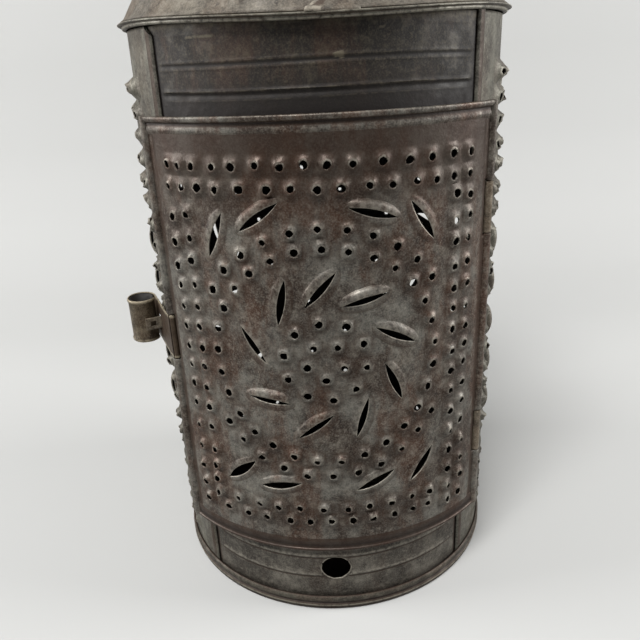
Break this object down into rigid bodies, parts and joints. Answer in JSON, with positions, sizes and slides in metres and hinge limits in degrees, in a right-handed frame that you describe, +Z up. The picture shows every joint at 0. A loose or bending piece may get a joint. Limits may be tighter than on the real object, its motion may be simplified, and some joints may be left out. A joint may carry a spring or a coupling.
{
  "type": "punched tin candle lantern",
  "caption": "Round tinplate candle lantern with a punched, hinged door, cone roof, ring handle and inner socket.",
  "frame": {"origin": "middle of the base pan's flat underside, on the surface that the lantern stands on", "axes": "+Z up along the lantern's axis, -Y out through the door, the hinge wire on the +X side"},
  "size_m": [0.1617, 0.153, 0.4094],
  "materials": {
    "base_tin": "dark aged tinplate",
    "body_tin": "aged tinplate",
    "panel_tin": "dark aged tinplate",
    "eave_tin": "aged tinplate",
    "roof_tin": "pale worn tinplate",
    "handle_tin": "aged tinplate",
    "door_tin": "aged tinplate with rust",
    "iron_wire": "aged iron wire",
    "strap_tin": "aged tinplate",
    "inner_tin": "smoked tinplate"
  },
  "bodies": {
    "lantern_body": {"base_pan": "base_tin", "body_shell": "body_tin", "upper_front_panel": "panel_tin", "lower_front_panel": "panel_tin", "eave_band": "eave_tin", "roof_cone": "roof_tin", "roof_cap": "roof_tin", "ring_handle": "handle_tin", "ring_saddle": "handle_tin", "hinge_strap_upper": "strap_tin", "hinge_strap_lower": "strap_tin", "hasp_staple": "strap_tin", "drip_pan": "inner_tin", "candle_socket": "inner_tin"},
    "door": {"door_panel": "door_tin", "door_hinge_wire": "iron_wire", "door_latch_wire": "iron_wire"},
    "hasp_arm": {"hasp": "strap_tin"}
  },
  "joints": [
    {"name": "door_hinge", "type": "hinge", "parent": "lantern_body", "child": "door", "pos_m": [0.06171, -0.0455, 0.1165], "axis": [0, 0, 1], "range_deg": [0, 135]},
    {"name": "hasp_hinge", "type": "hinge", "parent": "door", "child": "hasp_arm", "pos_m": [-0.06171, -0.0455, 0.11825], "axis": [0, 0, 1], "range_deg": [0, 140]}
  ]
}
